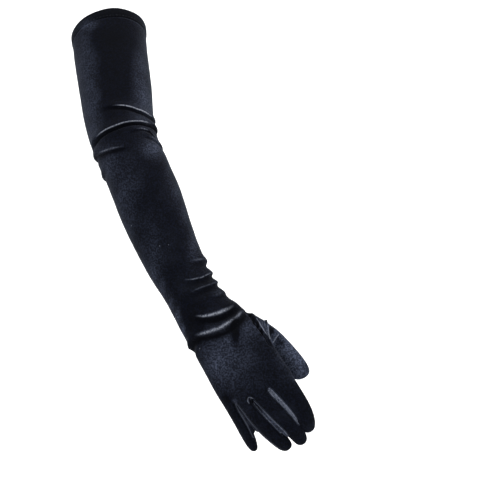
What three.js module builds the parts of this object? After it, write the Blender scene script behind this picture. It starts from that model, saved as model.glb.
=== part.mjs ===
// A long velvet evening glove for the right hand, hollow, in the form it takes on an arm.
// Millimetres. +Z is up and the back of the hand faces -Y. The origin is the middle of the
// arm opening. The sleeve runs down from there past the elbow and wrist to the fingers.
import * as THREE from 'three';

const CLOTH = 1.3;
const SEAM_GAP = 0.3;
const HEM_HEIGHT = 13;
const HEM_LEAN = 4;
const WRIST = 413;
const AWAY = new THREE.Vector3(0, 1, 0);
const PALM_SIDES = 20;
const SLEEVE_SIDES = 2 * PALM_SIDES;
const PILE = { color: '#12151c', roughness: 0.92, metalness: 0 };

// The form inside the cloth: distance down from the arm opening, the middle of the section
// there, its size across and its size from back to palm.
const FORM = [
  { at: 0, x: 0, y: 0, z: 0, across: 89, through: 92 },
  { at: 40, x: 5, y: -19, z: -34, across: 87, through: 90 },
  { at: 84, x: 12, y: -40, z: -72, across: 85, through: 88 },
  { at: 127, x: 18, y: -61, z: -110, across: 80, through: 85 },
  { at: 166, x: 27.8, y: -80, z: -142, across: 75, through: 82 },
  { at: 205, x: 42.8, y: -97, z: -174, across: 74, through: 76 },
  { at: 246, x: 57.6, y: -113, z: -208, across: 74.5, through: 70 },
  { at: 287, x: 72, y: -130, z: -243, across: 69, through: 62 },
  { at: 327, x: 88, y: -147, z: -276, across: 63, through: 54 },
  { at: 360, x: 103, y: -161, z: -302, across: 58, through: 48 },
  { at: 397, x: 121.3, y: -176.5, z: -329.8, across: 63, through: 44 },
  { at: 413, x: 130.6, y: -183, z: -341.4, across: 68, through: 42 },
  { at: 437, x: 144.4, y: -191.3, z: -359.2, across: 72, through: 37 },
  { at: 461, x: 157.9, y: -199.7, z: -377.2, across: 76, through: 33 },
  { at: 485, x: 170.6, y: -208, z: -395.8, across: 77, through: 30 },
  { at: 503, x: 180.3, y: -214.2, z: -409.7, across: 77.5, through: 28 },
];

// Lines across the sleeve, hem to hand. line is the distance down from the arm opening on the
// back, thumb side, palm side and little-finger side. folds lists each crest (+) or dent (-) on
// the line: its middle angle from the thumb side towards the back, half its spread, its height.
// Sleeve and hand are cut in one. They are kept as three pieces, which part in two of the dents:
// opens names the piece that begins at a line.
const SLEEVE_ROWS = [
  { line: [13.3, 9.3, 13.3, 17.3], folds: [[90, 360, -0.4]], opens: 'sleeve_upper' },
  { line: [65, 64, 65, 66], folds: [] },
  { line: [108, 108, 108, 108], folds: [] },
  { line: [128, 134, 130, 126], folds: [[30, 80, -0.5]] },
  { line: [136.5, 143, 138, 134], folds: [[28, 78, 2]] },
  { line: [141.5, 147.5, 143, 140], folds: [[28, 74, -1.8], [180, 60, 0.5]] },
  { line: [160.5, 157.5, 158, 160], folds: [[60, 115, 3]] },
  { line: [165, 161.5, 163, 164], folds: [[60, 110, -2.6], [190, 50, 0.6]], opens: 'sleeve_lower' },
  { line: [172, 173, 171, 168], folds: [[35, 50, 1.2], [175, 50, 1.6]] },
  { line: [178, 178.5, 176, 173], folds: [[40, 60, -0.8], [170, 60, -1.8]] },
  { line: [187, 184.5, 181, 179], folds: [[10, 48, 1.2], [115, 48, 1.6], [185, 40, -1.6]] },
  { line: [192, 190, 187, 186], folds: [[20, 60, -0.6], [130, 50, -1], [185, 40, 1.2]] },
  { line: [200, 200, 196, 193], folds: [[180, 46, -0.8]] },
  { line: [254, 254, 254, 254], folds: [] },
  { line: [307, 307, 307, 307], folds: [] },
  { line: [333, 331, 331, 332], folds: [[20, 60, -0.4]] },
  { line: [341.5, 338.5, 339, 341], folds: [[12, 62, 1.8]] },
  { line: [347, 343.5, 344, 347], folds: [[15, 62, -1.3]] },
  { line: [360, 356, 355, 356], folds: [[28, 72, 2.2]] },
  { line: [366, 362, 361, 362], folds: [[28, 76, -1.6]] },
  { line: [373, 370.5, 370, 370], folds: [[30, 80, 2]] },
  { line: [379, 378, 376, 376], folds: [[40, 84, -1.8]] },
  { line: [390, 392, 388, 387], folds: [[20, 90, 0.8], [180, 60, 0.4]] },
  { line: [400, 404, 399, 395], folds: [[60, 80, -1]] },
  { line: [409, 413, 408, 402], folds: [[48, 72, 2.8], [180, 60, 0.6], [345, 50, 1]] },
  { line: [415.5, 418, 413, 405.5], folds: [[52, 80, -2.2], [340, 50, 2.5]], opens: 'hand' },
  { line: [424, 423, 418, 409.5], folds: [[80, 90, 2.8], [338, 50, 5.5]] },
  { line: [429.5, 426.5, 422.5, 417], folds: [[120, 84, 1.6], [337, 55, 8.5]] },
];

// Lines across the palm, in the same way. spread is how far the cloth's lengthwise lines have
// moved from even spacing around the arm to their places at the knuckles.
const PALM_ROWS = [
  { line: [434.5, 430, 426.5, 424], spread: 0, folds: [[120, 90, -0.8], [336, 62, 10.5]] },
  { line: [446, 438, 439, 441], spread: 0.15, folds: [[335, 62, 13.5]] },
  { line: [458, 450, 451, 453], spread: 0.3, folds: [[333, 55, 10.5]] },
  { line: [471, 464, 465, 462], spread: 0.55, folds: [[333, 50, 3]] },
  { line: [487, 486, 484, 472], spread: 0.8, folds: [] },
];

// The line around the knuckles where the fingers part, little finger to index finger: distance
// from the wrist, distance across from the middle of the hand, and the heights of the back and
// of the palm. Even rows are the crotches and the two edges, odd rows the middles of fingers.
const KNUCKLES = [
  { along: 68, across: -39.5, back: -7, palm: -19 },
  { along: 74, across: -34.5, back: -3, palm: -21 },
  { along: 80, across: -26.5, back: -1.5, palm: -16 },
  { along: 85.5, across: -19, back: 4.5, palm: -13.5 },
  { along: 89, across: -10, back: 4.5, palm: -9.5 },
  { along: 91, across: -0.5, back: 8.5, palm: -10.5 },
  { along: 91, across: 11, back: 7, palm: -7.5 },
  { along: 91, across: 25, back: 10.5, palm: -10 },
  { along: 88, across: 37.5, back: 6, palm: -6 },
];

// The digits. roll turns a digit's back towards the thumb side, in degrees. rows are sections
// from root to tip: the middle, as distance from the wrist, across and above the hand's middle
// plane, then the width and thickness, half the opening angle of the side strips, and how far
// the section's outer end is turned back.
const FINGERS = [
  {
    name: 'little', roll: 30, rows: [
      { along: 86, across: -34.4, height: -14, wide: 13.5, thick: 15, strip: 38, turn: 0 },
      { along: 101, across: -35.6, height: -17, wide: 15, thick: 15, strip: 36, turn: 0 },
      { along: 118, across: -39, height: -22.5, wide: 13.5, thick: 13.5, strip: 30, turn: 0 },
      { along: 129.5, across: -41.5, height: -29.5, wide: 8, thick: 8, strip: 30, turn: 0 },
    ],
  },
  {
    name: 'ring', roll: 15, rows: [
      { along: 95, across: -18.2, height: -5, wide: 16.5, thick: 17, strip: 38, turn: 0 },
      { along: 113, across: -18, height: -7.5, wide: 17.5, thick: 17, strip: 36, turn: 0 },
      { along: 136, across: -14, height: -15, wide: 15.5, thick: 15, strip: 28, turn: 0 },
      { along: 150, across: -11.8, height: -25.5, wide: 9, thick: 9, strip: 30, turn: 0 },
    ],
  },
  {
    name: 'middle', roll: 5, rows: [
      { along: 97, across: -0.4, height: -1, wide: 18.5, thick: 19, strip: 38, turn: 0 },
      { along: 116, across: 3.4, height: -2, wide: 19, thick: 18.5, strip: 36, turn: 0 },
      { along: 140.5, across: 7.5, height: -11, wide: 16, thick: 16, strip: 28, turn: 0 },
      { along: 154.5, across: 5.4, height: -23, wide: 9.5, thick: 9.5, strip: 30, turn: 0 },
    ],
  },
  {
    name: 'index', roll: 0, rows: [
      { along: 97, across: 25, height: 1, wide: 24, thick: 20, strip: 38, turn: 0 },
      { along: 114, across: 25.4, height: 2, wide: 21.5, thick: 19, strip: 36, turn: 0 },
      { along: 134.5, across: 24, height: -7, wide: 17.5, thick: 16.5, strip: 28, turn: 0 },
      { along: 147, across: 19.6, height: -19, wide: 10, thick: 10, strip: 30, turn: 0 },
    ],
  },
];
const THUMB = {
  name: 'thumb', roll: 0, rows: [
    { along: 44, across: 43, height: -20, wide: 26, thick: 20, strip: 45, turn: 32 },
    { along: 60, across: 46, height: -22, wide: 21, thick: 19, strip: 45, turn: 14 },
    { along: 82, across: 47.5, height: -21, wide: 20, thick: 16.5, strip: 45, turn: 0 },
    { along: 97, across: 48, height: -18.5, wide: 15, thick: 10, strip: 45, turn: -8 },
  ],
};
// Where the thumb is set in: its rows of the palm and its two lengthwise strips of cloth.
const THUMB_ROWS = [1, 2, 3];
const THUMB_SIDES = [18, 19];

// The turned hem's section: distance down from its edge and height above the sleeve's face.
const HEM_SECTION = [
  [0, -CLOTH], [0, 1.2], [HEM_HEIGHT - 1.2, 1.6], [HEM_HEIGHT, 0.7], [HEM_HEIGHT, -CLOTH],
];

const radians = THREE.MathUtils.degToRad;

// A smooth curve through one column of the form.
function formAt(column, at) {
  const last = FORM.length - 2;
  const i = THREE.MathUtils.clamp(FORM.findIndex((row) => row.at > at) - 1, 0, last);
  const k = at >= FORM[last].at ? last : i;
  const slope = (j) => {
    const a = FORM[Math.max(j - 1, 0)];
    const b = FORM[Math.min(j + 1, FORM.length - 1)];
    return (b[column] - a[column]) / (b.at - a.at);
  };
  const length = FORM[k + 1].at - FORM[k].at;
  const t = (at - FORM[k].at) / length;
  const ease = t * t * (3 - 2 * t);
  const leave = t * (1 - t) * (1 - t) * length * slope(k);
  const arrive = t * t * (t - 1) * length * slope(k + 1);
  return FORM[k][column] + (FORM[k + 1][column] - FORM[k][column]) * ease + leave + arrive;
}

// The section at a distance down: its middle, and the directions down the arm, across it to the
// thumb side, and out of its back.
function sectionAt(at) {
  const middle = (s) => new THREE.Vector3(formAt('x', s), formAt('y', s), formAt('z', s));
  const down = middle(at + 0.5).sub(middle(at - 0.5)).normalize();
  const across = down.clone().cross(AWAY).normalize();
  return { middle: middle(at), down, across, back: down.clone().cross(across) };
}

// A value around the arm that passes through four given ones: back, thumb, palm, little finger.
function roundTheArm([back, thumb, palm, little], angle) {
  const mean = (back + thumb + palm + little) / 4;
  const twice = (thumb - back + little - palm) / 4;
  return mean + ((thumb - little) / 2) * Math.cos(angle)
    + ((back - palm) / 2) * Math.sin(angle) + twice * Math.cos(2 * angle);
}

function foldHeight(folds, angle) {
  let height = 0;
  for (const [middle, spread, rise] of folds) {
    const turn = radians(((THREE.MathUtils.radToDeg(angle) - middle + 540) % 360) - 180);
    const share = turn / radians(spread);
    if (Math.abs(share) < 1) height += rise * Math.cos((share * Math.PI) / 2) ** 2;
  }
  return height;
}

// A point of the cloth's outer face on a line across it, raised above the line's own folds.
function clothPoint(row, angle, raise = 0) {
  const at = roundTheArm(row.line, angle);
  const section = sectionAt(at);
  const out = foldHeight(row.folds, angle) + raise;
  return section.middle
    .addScaledVector(section.across, (formAt('across', at) / 2 + out) * Math.cos(angle))
    .addScaledVector(section.back, (formAt('through', at) / 2 + out) * Math.sin(angle));
}

// The flat hand's own frame, from the wrist to the knuckles.
const hand = sectionAt(WRIST + 45);
hand.middle = sectionAt(WRIST).middle;

function handPoint(along, across, height) {
  return hand.middle.clone()
    .addScaledVector(hand.down, along)
    .addScaledVector(hand.across, across)
    .addScaledVector(hand.back, height);
}

// The knuckle line as a closed ring, from the thumb side over the back and round by the palm.
function knuckleRing() {
  const over = KNUCKLES.map((row) => ({ ...row, height: row.back })).reverse();
  const under = KNUCKLES.map((row) => ({ ...row, height: row.palm }));
  const edge = (row, outward) => (
    { along: row.along, across: row.across + outward, height: (row.back + row.palm) / 2 }
  );
  return [edge(KNUCKLES.at(-1), 2), ...over, edge(KNUCKLES[0], -1.5), ...under];
}

// Points and faces of the hand before it is rounded off. Each face says which piece it is of.
const cage = { points: [], faces: [] };

function addPoint(point) {
  cage.points.push(point);
  return cage.points.length - 1;
}

// Faces from one ring of points to the next one down. pieceOf names the piece at each side.
function joinRings(mesh, upper, lower, pieceOf) {
  upper.forEach((corner, i) => {
    const next = (i + 1) % upper.length;
    const piece = pieceOf(i);
    if (piece) mesh.faces.push({ loop: [corner, upper[next], lower[next], lower[i]], piece });
  });
}

function palmRings() {
  const ends = knuckleRing();
  const rings = PALM_ROWS.map((row) => ends.map((end, i) => {
    const angle = (i * 2 * Math.PI) / PALM_SIDES;
    const even = clothPoint(row, angle);
    const along = roundTheArm(row.line, angle) - WRIST;
    const spread = handPoint(along, end.across, end.height);
    spread.addScaledVector(hand.across, foldHeight(row.folds, angle) * Math.cos(angle));
    spread.addScaledVector(hand.back, foldHeight(row.folds, angle) * Math.sin(angle));
    return addPoint(even.lerp(spread, row.spread));
  }));
  rings.push(ends.map((end) => addPoint(handPoint(end.along, end.across, end.height))));
  for (let r = 0; r + 1 < rings.length; r += 1) {
    const thumbRow = r >= THUMB_ROWS[0] && r < THUMB_ROWS[2];
    joinRings(cage, rings[r], rings[r + 1], (i) => (
      thumbRow && THUMB_SIDES.includes(i) ? null : 'hand'
    ));
  }
  return rings;
}

// Carries a digit from its root, a ring of eight points, through its sections to a closed tip.
// sideOf gives the piece that each of the eight sides belongs to, at each section.
function growDigit(digit, root, sideOf) {
  const middles = digit.rows.map((row) => handPoint(row.along, row.across, row.height));
  const start = root.reduce((sum, i) => sum.add(cage.points[i]), new THREE.Vector3());
  middles.unshift(start.divideScalar(root.length));
  let ring = root;
  digit.rows.forEach((row, r) => {
    const ahead = middles[Math.min(r + 2, middles.length - 1)].clone().sub(middles[r]).normalize();
    ahead.applyAxisAngle(hand.back, radians(row.turn));
    const wide = hand.across.clone().addScaledVector(ahead, -hand.across.dot(ahead)).normalize();
    wide.applyAxisAngle(ahead, radians(digit.roll));
    const thick = ahead.clone().cross(wide);
    const angles = [0, row.strip, 90, 180 - row.strip, 180, 180 + row.strip, 270, 360 - row.strip];
    const shrink = 0.93;
    const lower = angles.map((angle) => addPoint(middles[r + 1].clone()
      .addScaledVector(wide, (row.wide / 2 / shrink) * Math.cos(radians(angle)))
      .addScaledVector(thick, (row.thick / 2 / shrink) * Math.sin(radians(angle)))));
    joinRings(cage, ring, lower, (i) => sideOf(i, r));
    ring = lower;
  });
  cage.faces.push({ loop: ring, piece: sideOf(2, digit.rows.length) });
}

// The four fingers grow out of the knuckle ring. Between two fingers the ring is closed from
// back to palm through one point in the crotch, and the strip down both their facing sides is
// one piece, set in between the fingers' backs and fronts.
function growFingers(knuckles) {
  const back = (column) => knuckles[9 - column];
  const palm = (column) => knuckles[11 + column];
  const crotches = [knuckles[10]];
  for (let column = 2; column <= 6; column += 2) {
    const between = cage.points[back(column)].clone().lerp(cage.points[palm(column)], 0.5);
    crotches.push(addPoint(between.addScaledVector(hand.down, -1)));
  }
  crotches.push(knuckles[0]);
  FINGERS.forEach((finger, k) => {
    const near = 2 * k + 2;
    const far = 2 * k;
    const root = [
      crotches[k + 1], back(near), back(near - 1), back(far),
      crotches[k], palm(far), palm(near - 1), palm(near),
    ];
    const stripTo = (other) => (other ? `fourchette_${stripName(finger, other)}` : 'hand');
    growDigit(finger, root, (side, r) => {
      if (r === finger.rows.length - 1 || r === finger.rows.length) return 'hand';
      if (side === 0 || side === 7) return stripTo(FINGERS[k + 1]);
      if (side === 3 || side === 4) return stripTo(FINGERS[k - 1]);
      return 'hand';
    });
  });
}

// A strip is named after its two fingers, the one nearer the thumb first.
function stripName(a, b) {
  return FINGERS.indexOf(a) > FINGERS.indexOf(b) ? `${a.name}_${b.name}` : `${b.name}_${a.name}`;
}

function growThumb(rings) {
  const [top, middle, bottom] = THUMB_ROWS.map((r) => rings[r]);
  const [palm, side] = THUMB_SIDES;
  const root = [
    top[side], top[0], middle[0], bottom[0], bottom[side], bottom[palm], middle[palm], top[palm],
  ];
  growDigit(THUMB, root, () => 'thumb');
}

const average = (points) => (
  points.reduce((sum, p) => sum.add(p), new THREE.Vector3()).divideScalar(points.length)
);
const edgeKey = (a, b) => (a < b ? `${a}_${b}` : `${b}_${a}`);

// Rounds a cage off by one step of Catmull-Clark subdivision. Open edges keep their outline.
function roundOff(mesh) {
  const edges = new Map();
  const touching = mesh.points.map(() => ({ faces: [], edges: [] }));
  mesh.faces.forEach((face, f) => face.loop.forEach((a, i) => {
    const b = face.loop[(i + 1) % face.loop.length];
    const key = edgeKey(a, b);
    if (!edges.has(key)) {
      edges.set(key, { ends: [a, b], faces: [], id: 0 });
      touching[a].edges.push(key);
      touching[b].edges.push(key);
    }
    edges.get(key).faces.push(f);
    touching[a].faces.push(f);
  }));
  const faceMiddles = mesh.faces.map((face) => average(face.loop.map((i) => mesh.points[i])));
  const edgeMiddle = (key) => average(edges.get(key).ends.map((i) => mesh.points[i]));
  const points = mesh.points.map((point, i) => {
    const around = touching[i];
    const open = around.edges.filter((key) => edges.get(key).faces.length === 1);
    const count = around.edges.length;
    if (count === 0) return point.clone();
    if (open.length) return average(open.map(edgeMiddle)).lerp(point, 0.5);
    return average(around.faces.map((f) => faceMiddles[f]))
      .addScaledVector(average(around.edges.map(edgeMiddle)), 2)
      .addScaledVector(point, count - 3)
      .divideScalar(count);
  });
  for (const [key, edge] of edges) {
    const inner = edge.faces.length === 2;
    edge.id = points.length;
    const middle = edgeMiddle(key);
    points.push(inner ? middle.lerp(average(edge.faces.map((f) => faceMiddles[f])), 0.5) : middle);
  }
  const faces = [];
  mesh.faces.forEach((face, f) => {
    const middle = points.length;
    points.push(faceMiddles[f]);
    const sides = face.loop.map((a, i) => (
      edges.get(edgeKey(a, face.loop[(i + 1) % face.loop.length])).id
    ));
    face.loop.forEach((corner, i) => {
      const before = sides[(i + sides.length - 1) % sides.length];
      faces.push({ loop: [corner, sides[i], middle, before], piece: face.piece });
    });
  });
  return { points, faces, between: (a, b) => edges.get(edgeKey(a, b)).id };
}

// The whole outer face of the cloth: the rounded hand with the sleeve's rows added above it.
function buildSkin() {
  const rings = palmRings();
  growFingers(rings.at(-1));
  growThumb(rings);
  const skin = roundOff(cage);
  const top = rings[0].flatMap((corner, i) => (
    [corner, skin.between(corner, rings[0][(i + 1) % PALM_SIDES])]
  ));
  const sleeve = SLEEVE_ROWS.map((row) => top.map((_, i) => {
    skin.points.push(clothPoint(row, (i * 2 * Math.PI) / SLEEVE_SIDES));
    return skin.points.length - 1;
  }));
  sleeve.push(top);
  for (let r = 0; r + 1 < sleeve.length; r += 1) {
    const { opens } = SLEEVE_ROWS.slice(0, r + 1).findLast((row) => row.opens);
    joinRings(skin, sleeve[r], sleeve[r + 1], () => opens);
  }
  return skin;
}

function faceNormal(points, [a, b, c, d]) {
  const across = points[c].clone().sub(points[a]);
  return across.cross(points[d].clone().sub(points[b]));
}

// The inner face of the cloth: every point moved in along its normal by the cloth's thickness.
function innerPoints(skin) {
  const normals = skin.points.map(() => new THREE.Vector3());
  for (const { loop } of skin.faces) {
    const normal = faceNormal(skin.points, loop);
    for (const i of loop) normals[i].add(normal);
  }
  return skin.points.map((p, i) => p.clone().addScaledVector(normals[i].normalize(), -CLOTH));
}

// One piece of cloth as a closed solid: its outer faces, the inner ones below them, and a wall
// along its edges, which are drawn back from the neighbouring pieces by half the seam's gap.
function clothSolid(skin, inner, piece) {
  const faces = skin.faces.filter((face) => face.piece === piece).map((face) => face.loop);
  const used = [...new Set(faces.flat())];
  const place = new Map(used.map((i, n) => [i, n]));
  const sides = new Set(faces.flatMap((loop) => loop.map((a, k) => `${a}>${loop[(k + 1) % 4]}`)));
  const rim = [...sides].map((side) => side.split('>').map(Number))
    .filter(([a, b]) => !sides.has(`${b}>${a}`));
  const drawn = new Map(rim.map(([a]) => [a, new THREE.Vector3()]));
  for (const [a, b] of rim) {
    const along = skin.points[b].clone().sub(skin.points[a]);
    const inward = skin.points[a].clone().sub(inner[a]).cross(along).normalize();
    drawn.get(a).add(inward);
    drawn.get(b).add(inward);
  }
  for (const pull of drawn.values()) {
    pull.setLength(SEAM_GAP * Math.min(1.1 / pull.length(), 1.2));
  }
  const pulled = (points) => used.map((i) => (
    drawn.has(i) ? points[i].clone().add(drawn.get(i)) : points[i]
  ));
  const points = [...pulled(skin.points), ...pulled(inner)];
  const under = (i) => place.get(i) + used.length;
  const quads = faces.map((loop) => loop.map((i) => place.get(i)));
  quads.push(...faces.map((loop) => loop.map(under).reverse()));
  quads.push(...rim.map(([a, b]) => [place.get(b), place.get(a), under(a), under(b)]));
  return solid(points, quads);
}

// Four-sided faces as a triangle mesh, each split along its shorter diagonal.
function solid(points, quads) {
  const triangles = quads.flatMap(([a, b, c, d]) => (
    points[a].distanceTo(points[c]) <= points[b].distanceTo(points[d])
      ? [a, b, c, a, c, d] : [a, b, d, b, c, d]
  ));
  const geometry = new THREE.BufferGeometry().setFromPoints(points);
  geometry.setIndex(triangles);
  geometry.computeVertexNormals();
  return geometry;
}

// The hem is the sleeve's top edge turned over and stitched: a thicker, rounded band above it.
function hemSolid() {
  const points = [];
  const rings = HEM_SECTION.map(([at, raise]) => {
    const row = { line: [at, at - HEM_LEAN, at, at + HEM_LEAN], folds: [] };
    return Array.from({ length: SLEEVE_SIDES }, (_, i) => {
      points.push(clothPoint(row, (i * 2 * Math.PI) / SLEEVE_SIDES, raise));
      return points.length - 1;
    });
  });
  const band = { faces: [] };
  rings.forEach((ring, r) => joinRings(band, ring, rings[(r + 1) % rings.length], () => 'hem'));
  return solid(points, band.faces.map((face) => face.loop));
}

function addPiece(group, name, geometry) {
  const mesh = new THREE.Mesh(geometry, new THREE.MeshStandardMaterial(PILE));
  mesh.name = name;
  group.add(mesh);
}

const glove = new THREE.Group();
const skin = buildSkin();
const inner = innerPoints(skin);
for (const piece of new Set(skin.faces.map((face) => face.piece))) {
  addPiece(glove, piece, clothSolid(skin, inner, piece));
}
addPiece(glove, 'hem_band', hemSolid());

export default glove;
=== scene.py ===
from math import cos, pi, radians, sin

import bmesh
import bpy
import numpy as np
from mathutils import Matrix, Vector, bvhtree, kdtree, noise


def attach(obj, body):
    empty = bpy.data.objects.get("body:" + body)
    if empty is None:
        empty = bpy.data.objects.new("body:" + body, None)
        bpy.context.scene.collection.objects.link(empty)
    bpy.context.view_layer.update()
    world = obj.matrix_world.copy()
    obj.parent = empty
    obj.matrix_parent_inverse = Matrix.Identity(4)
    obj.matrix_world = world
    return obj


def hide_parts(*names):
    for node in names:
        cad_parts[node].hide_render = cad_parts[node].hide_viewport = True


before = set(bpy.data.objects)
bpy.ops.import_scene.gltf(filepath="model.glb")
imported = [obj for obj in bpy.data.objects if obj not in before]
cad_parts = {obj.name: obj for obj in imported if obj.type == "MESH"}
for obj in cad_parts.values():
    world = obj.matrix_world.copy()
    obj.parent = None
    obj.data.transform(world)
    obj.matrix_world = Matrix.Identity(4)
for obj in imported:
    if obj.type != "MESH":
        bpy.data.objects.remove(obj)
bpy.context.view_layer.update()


# Sleeve
# A tapering tube of stretch velvet that fits the arm from above the elbow to the wrist. It is
# drawn out here ring by ring, each ring a line across the cloth. Sizes are in millimetres.
MM = 0.001
SIDES = 20
# The radius of the ring that a piece starts as, before its corners go to their places.
RING_RADIUS = 44
# Distance down the arm, the middle of the section there, its size across and back to palm.
FORM = np.array([
    [0, 0, 0, 0, 89, 92],
    [40, 5, -19, -34, 87, 90],
    [84, 12, -40, -72, 85, 88],
    [127, 18, -61, -110, 80, 85],
    [166, 27.8, -80, -142, 75, 82],
    [205, 42.8, -97, -174, 74, 76],
    [246, 57.6, -113, -208, 74.5, 70],
    [287, 72, -130, -243, 69, 62],
    [327, 88, -147, -276, 63, 54],
    [360, 103, -161, -302, 58, 48],
    [397, 121.3, -176.5, -329.8, 63, 44],
    [413, 130.6, -183, -341.4, 68, 42],
    [437, 144.4, -191.3, -359.2, 72, 37],
    [461, 157.9, -199.7, -377.2, 76, 33],
    [485, 170.6, -208, -395.8, 77, 30],
    [503, 180.3, -214.2, -409.7, 77.5, 28],
])
# Rings of the sleeve: the distance down on the back, thumb side, palm side and little side.
SLEEVE_LINES = [
    [12.4, 8.4, 12.4, 16.4],
    [34, 31, 34, 37],
    [78, 77, 78, 79],
    [112, 113, 112, 111],
    [125, 129, 126, 124],
    [134.5, 140.5, 136, 132.5],
    [142.5, 147, 143.5, 141],
    [151, 152.5, 150, 150],
    [159.5, 158.5, 157.5, 158.5],
    [167.5, 166, 165, 166],
    [176, 175.5, 173, 173],
    [185, 184, 181, 180.5],
    [198, 197, 194, 193],
    [232, 232, 231, 230],
    [280, 280, 280, 280],
    [320, 319, 319, 320],
    [335, 332.5, 332.5, 334.5],
    [345.5, 342.5, 342.5, 345],
    [356, 352.5, 352, 354],
    [366.5, 363, 362, 363.5],
    [377.5, 375, 373.5, 374],
    [390.5, 391.5, 388, 386],
    [403, 407.5, 402, 397],
    [413.5, 417, 411.5, 405.5],
    [424, 423.5, 418.5, 413],
]
# The ball of the thumb pushes the cloth out: round this angle, to these degrees on each side,
# and this far at these distances down the arm. Angles go from the thumb side over the back.
BALL_ANGLE, BALL_SPREAD = 336, 54
THUMB_BALL = [(400, 0), (413, 2), (424, 5.5), (429, 8.5), (434, 10.5), (446, 13.5), (458, 10.5)]


def form_at(s):
    """The section's middle and sizes at distance s down the arm, on smooth curves through FORM."""
    at, rows = FORM[:, 0], FORM[:, 1:]
    slopes = np.empty_like(rows)
    slopes[1:-1] = (rows[2:] - rows[:-2]) / (at[2:] - at[:-2])[:, None]
    slopes[0] = (rows[1] - rows[0]) / (at[1] - at[0])
    slopes[-1] = (rows[-1] - rows[-2]) / (at[-1] - at[-2])
    s = np.asarray(s, float)
    k = np.clip(np.searchsorted(at, s, side="right") - 1, 0, len(at) - 2)
    length = (at[k + 1] - at[k])[..., None]
    t = (s - at[k])[..., None] / length
    blend = t * t * (3 - 2 * t)
    leave = t * (1 - t) ** 2 * length * slopes[k]
    arrive = t * t * (t - 1) * length * slopes[k + 1]
    return rows[k] + (rows[k + 1] - rows[k]) * blend + leave + arrive


def unit(v):
    return v / np.linalg.norm(v, axis=-1, keepdims=True)


def section_at(s):
    """The arm's middle and the directions down it, across to the thumb and out of its back."""
    s = np.asarray(s, float)
    down = unit(form_at(s + 0.5)[..., :3] - form_at(s - 0.5)[..., :3])
    across = unit(np.cross(down, [0, 1, 0]))
    return form_at(s)[..., :3], down, across, np.cross(down, across)


def line_at(line, angle):
    """How far down the arm a line across the cloth is at an angle."""
    back, thumb, palm, little = line
    return (
        (back + thumb + palm + little) / 4
        + (thumb - little) / 2 * np.cos(angle)
        + (back - palm) / 2 * np.sin(angle)
        + (thumb - back + little - palm) / 4 * np.cos(2 * angle)
    )


def turn_from(middle, angle):
    """The degrees from a middle, itself in degrees, to an angle, the short way round."""
    return (np.degrees(angle) - middle + 540) % 360 - 180


def thumb_ball(s, angle):
    push = np.interp(s, *zip(*THUMB_BALL))
    turn = turn_from(BALL_ANGLE, angle) / BALL_SPREAD
    return push * np.cos(np.clip(turn, -1, 1) * pi / 2) ** 2


def cloth_at(s, angle, out=0.0, lean=0.0):
    """Points of the cloth at distance s down the arm, raised by out and pushed down it by lean."""
    middle, down, across, back = section_at(s)
    form = form_at(s)
    out = np.asarray(out + thumb_ball(s, angle))[..., None]
    wide, thick = form[..., 3:4] / 2 + out, form[..., 4:5] / 2 + out
    angle = np.asarray(angle)[..., None]
    return (
        middle + across * wide * np.cos(angle) + back * thick * np.sin(angle)
        + down * np.asarray(lean)[..., None]
    )


def start_ring(name, places):
    """Starts a piece as an open ring and goes into edit mode."""
    bpy.ops.object.select_all(action="DESELECT")
    bpy.ops.mesh.primitive_circle_add(vertices=len(places), radius=RING_RADIUS * MM)
    piece = bpy.context.object
    piece.name = name
    for vert, place in zip(piece.data.vertices, places):
        vert.co = place
    bpy.ops.object.mode_set(mode="EDIT")
    bpy.ops.mesh.select_mode(type="EDGE")
    return piece


def pick(*lines, closed=True):
    """Selects the edges along each line of points."""
    mesh = bmesh.from_edit_mesh(bpy.context.object.data)
    bpy.ops.mesh.select_all(action="DESELECT")
    tree = kdtree.KDTree(len(mesh.verts))
    mesh.verts.ensure_lookup_table()
    for vert in mesh.verts:
        tree.insert(vert.co, vert.index)
    tree.balance()
    for line in lines:
        found = [mesh.verts[tree.find(point)[1]] for point in line]
        for a, b in zip(found, found[1:] + found[:1] if closed else found[1:]):
            edge = mesh.edges.get((a, b))
            if edge:
                edge.select_set(True)
    bmesh.update_edit_mesh(bpy.context.object.data)


def draw_out(ring, places, cut_of=None):
    """Extrudes the cloth's open ring and moves the new one to its places. cut_of gives the cut of
    cloth that each new face is in, by the corner of the ring where the face starts."""
    pick(ring)
    bpy.ops.mesh.extrude_edges_move()
    mesh = bmesh.from_edit_mesh(bpy.context.object.data)
    near = kdtree.KDTree(len(ring))
    for i, point in enumerate(ring):
        near.insert(point, i)
    near.balance()
    corner_of = {vert: near.find(vert.co)[1] for vert in mesh.verts if vert.select}
    for vert, i in corner_of.items():
        vert.co = places[i]
    if cut_of:
        for edge in [e for e in mesh.edges if e.select]:
            a, b = sorted(corner_of[vert] for vert in edge.verts)
            corner = b if (a, b) == (0, len(ring) - 1) else a
            for face in edge.link_faces:
                face.material_index = cut_of(corner)
    bmesh.update_edit_mesh(bpy.context.object.data)
    return places


ANGLES = np.arange(SIDES) * 2 * pi / SIDES
LITTLE_SIDE = SIDES // 2
ring = cloth_at(line_at(SLEEVE_LINES[0], ANGLES), ANGLES) * MM
skin = start_ring("glove_body_velvet", ring)
side_seam = [ring[LITTLE_SIDE]]
for line in SLEEVE_LINES[1:]:
    ring = draw_out(ring, cloth_at(line_at(line, ANGLES), ANGLES) * MM)
    side_seam.append(ring[LITTLE_SIDE])


# Palm and back of the hand
# The sleeve runs on over the hand as one piece, spreading to the knuckles, where it divides
# into the fingers.
WRIST = 413
MID_HAND = WRIST + 45
HAND_MIDDLE = section_at(WRIST)[0]
# The directions down the hand, across it to the thumb and out of its back.
HAND = section_at(MID_HAND)[1:]
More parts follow.
